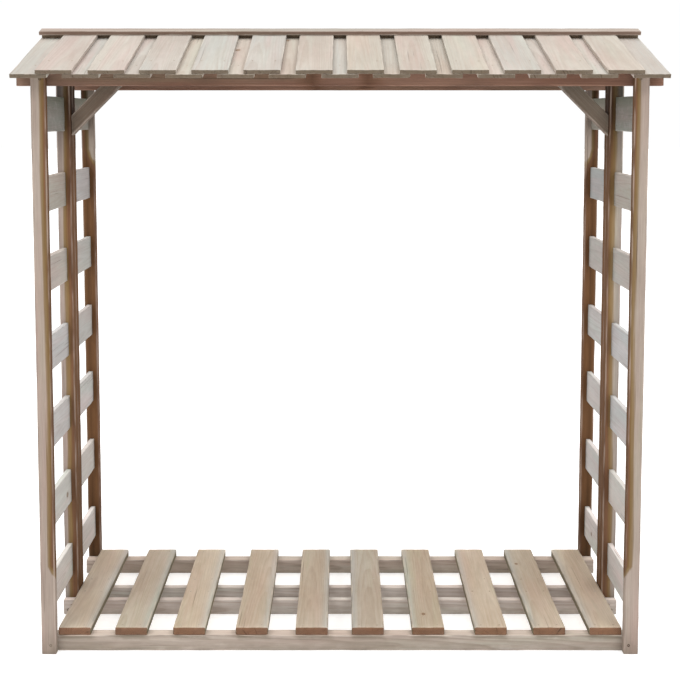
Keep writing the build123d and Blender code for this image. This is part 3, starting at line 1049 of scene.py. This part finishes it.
def fixings(name, places, material, radius, lobes, seed):
    rng = np.random.default_rng(seed)
    verts, faces = [], []
    for place, normal in places:
        n = np.asarray(normal, float)
        drift = rng.uniform(-2.2, 2.2, 3)
        drift = drift - n * (drift @ n) / (n @ n)
        head(verts, faces, np.asarray(place, float) + drift, n, radius, lobes, rng.uniform(0, 2), rng.uniform(-0.45, -0.25))
    mesh = bpy.data.meshes.new(name)
    mesh.from_pydata(verts, [], faces)
    mesh.polygons.foreach_set("use_smooth", [True] * len(mesh.polygons))
    mesh.materials.append(material)
    obj = bpy.data.objects.new(name, mesh)
    bpy.context.scene.collection.objects.link(obj)
    ease = obj.modifiers.new("weighted", "WEIGHTED_NORMAL")
    ease.keep_sharp = False
    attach(obj, "root")


slat_screws = [((x / MM + dx, y, 71.0), (0, 0, 1)) for x in SLATS for y in (-346.0, -57.5, 57.5, 346.0) for dx in (-27.0, 27.0)]
fixings("floor_screws", slat_screws, nail_metal, 2.6, 6, 31)

post_screws = []
for sx in (-1, 1):
    for sy in (-1, 1):
        post_screws += [((sx * 847.0, sy * 395.0, 27.0), (0, sy, 0)), ((sx * 850.0, sy * 395.0, 1676.0), (0, sy, 0))]
        # Ground beams to the middle pairs
        post_screws += [((sx * 848.0, sy * 71.5, 30.0), (0, sy, 0)), ((sx * 861.0, sy * 71.5, 17.0), (0, sy, 0))]
        # Braces, on the slanted underside near each end
    d = math.sqrt(0.5)
    for x, z in ((806.0, 1538.0), (650.0, 1694.0)):
        post_screws += [((sx * x, y, z), (-sx * d, 0, -d)) for y in (-9.0, 9.0)]
fixings("post_screws", post_screws, screw_metal, 4.0, 6, 32)

nails = []
for sy in (-1, 1):
    _, W = slope_axes(sy)
    for k in range(12):
        x = (k - 5.5) * BOARD_STEP
        nails += [((x + dx, sy * y, roof_top(y, 1)), W) for dx in (-33.0, 33.0) for y in (353.0,)]
        nails += [((x, sy * 27.0, roof_top(27.0, 2)), W)]
    for k in range(13):
        x = (k - 6) * BOARD_STEP
        nails += [((x, sy * 353.0, roof_top(353.0, 0)), W)]
fixings("roof_nails", nails, nail_metal, 2.4, 0, 33)


# =====================================================================
# 4. Floor, light and camera
# =====================================================================

def plain(name, colour, rough, glow=0.0):
    material = bpy.data.materials.new(name)
    g = Graph(material)
    shader = g.node("ShaderNodeBsdfPrincipled")
    shader.inputs["Base Color"].default_value = colour
    shader.inputs["Roughness"].default_value = rough
    shader.inputs["Specular IOR Level"].default_value = 0.0
    if glow:
        shader.inputs["Emission Color"].default_value = (1, 1, 1, 1)
        shader.inputs["Emission Strength"].default_value = glow
    out = g.node("ShaderNodeOutputMaterial")
    g.tree.links.new(shader.outputs[0], out.inputs[0])
    return material


floor_mesh = bpy.data.meshes.new("floor_plane")
S = 60.0
floor_mesh.from_pydata([(-S, -S, -0.0006), (S, -S, -0.0006), (S, S, -0.0006), (-S, S, -0.0006)], [], [(0, 1, 2, 3)])
floor_mesh.materials.append(plain("floor_pale", (0.80, 0.80, 0.80, 1), 1.0, 0.50))
floor = bpy.data.objects.new("floor_plane", floor_mesh)
bpy.context.scene.collection.objects.link(floor)

world = bpy.data.worlds.new("studio")
bpy.context.scene.world = world
world.use_nodes = True
tree = world.node_tree
tree.nodes.clear()
coord = tree.nodes.new("ShaderNodeTexCoord")
split = tree.nodes.new("ShaderNodeSeparateXYZ")
ramp = tree.nodes.new("ShaderNodeValToRGB")
ramp.color_ramp.interpolation = "EASE"
stops = ((0.0, 1.01), (0.11, 1.01), (0.24, 0.42), (0.55, 0.60), (0.82, 1.55), (1.0, 1.75))
elements = ramp.color_ramp.elements
elements[0].position, elements[1].position = stops[0][0], stops[-1][0]
SCALE = 3.0
for position, value in stops[1:-1]:
    elements.new(position)
for element, (position, value) in zip(sorted(elements, key=lambda s: s.position), stops):
    element.color = (value / SCALE, value / SCALE, value / SCALE, 1)
background = tree.nodes.new("ShaderNodeBackground")
background.inputs["Strength"].default_value = SCALE
out = tree.nodes.new("ShaderNodeOutputWorld")
tree.links.new(coord.outputs["Generated"], split.inputs[0])
tree.links.new(split.outputs[2], ramp.inputs[0])
tree.links.new(ramp.outputs[0], background.inputs[0])
tree.links.new(background.outputs[0], out.inputs[0])


def area(name, place, aim, size, power, colour=(1, 1, 1)):
    data = bpy.data.lights.new(name, "AREA")
    data.shape = "RECTANGLE"
    data.size, data.size_y = size
    data.energy = power
    data.color = colour
    obj = bpy.data.objects.new(name, data)
    bpy.context.scene.collection.objects.link(obj)
    obj.location = place
    direction = np.array(aim, float) - np.array(place, float)
    from mathutils import Vector
    obj.rotation_mode = "QUATERNION"
    obj.rotation_quaternion = Vector(direction).to_track_quat("-Z", "Y")
    return obj


area("key_left", (-3.0, -3.6, 4.4), (0.2, 0, 0.8), (2.0, 1.6), 75)
area("key_right", (3.0, -3.6, 4.4), (-0.2, 0, 0.8), (2.0, 1.6), 75)

scene = bpy.context.scene
scene.view_settings.view_transform = "Standard"
scene.view_settings.look = "None"
scene.view_settings.exposure = 0.0
scene.view_settings.gamma = 1.0

FOCAL, AWAY, HEIGHT, PITCH = 1376.3, 4.3036, 1.5765, 0.0942
cam_data = bpy.data.cameras.new("camera")
cam_data.sensor_width = 36.0
cam_data.lens = FOCAL / 680 * 36.0
cam_data.shift_y = -0.14
cam = bpy.data.objects.new("camera", cam_data)
scene.collection.objects.link(cam)
cam.location = (0.0, -AWAY, HEIGHT)
cam.rotation_euler = (math.pi / 2 - PITCH, 0, 0)
scene.camera = cam
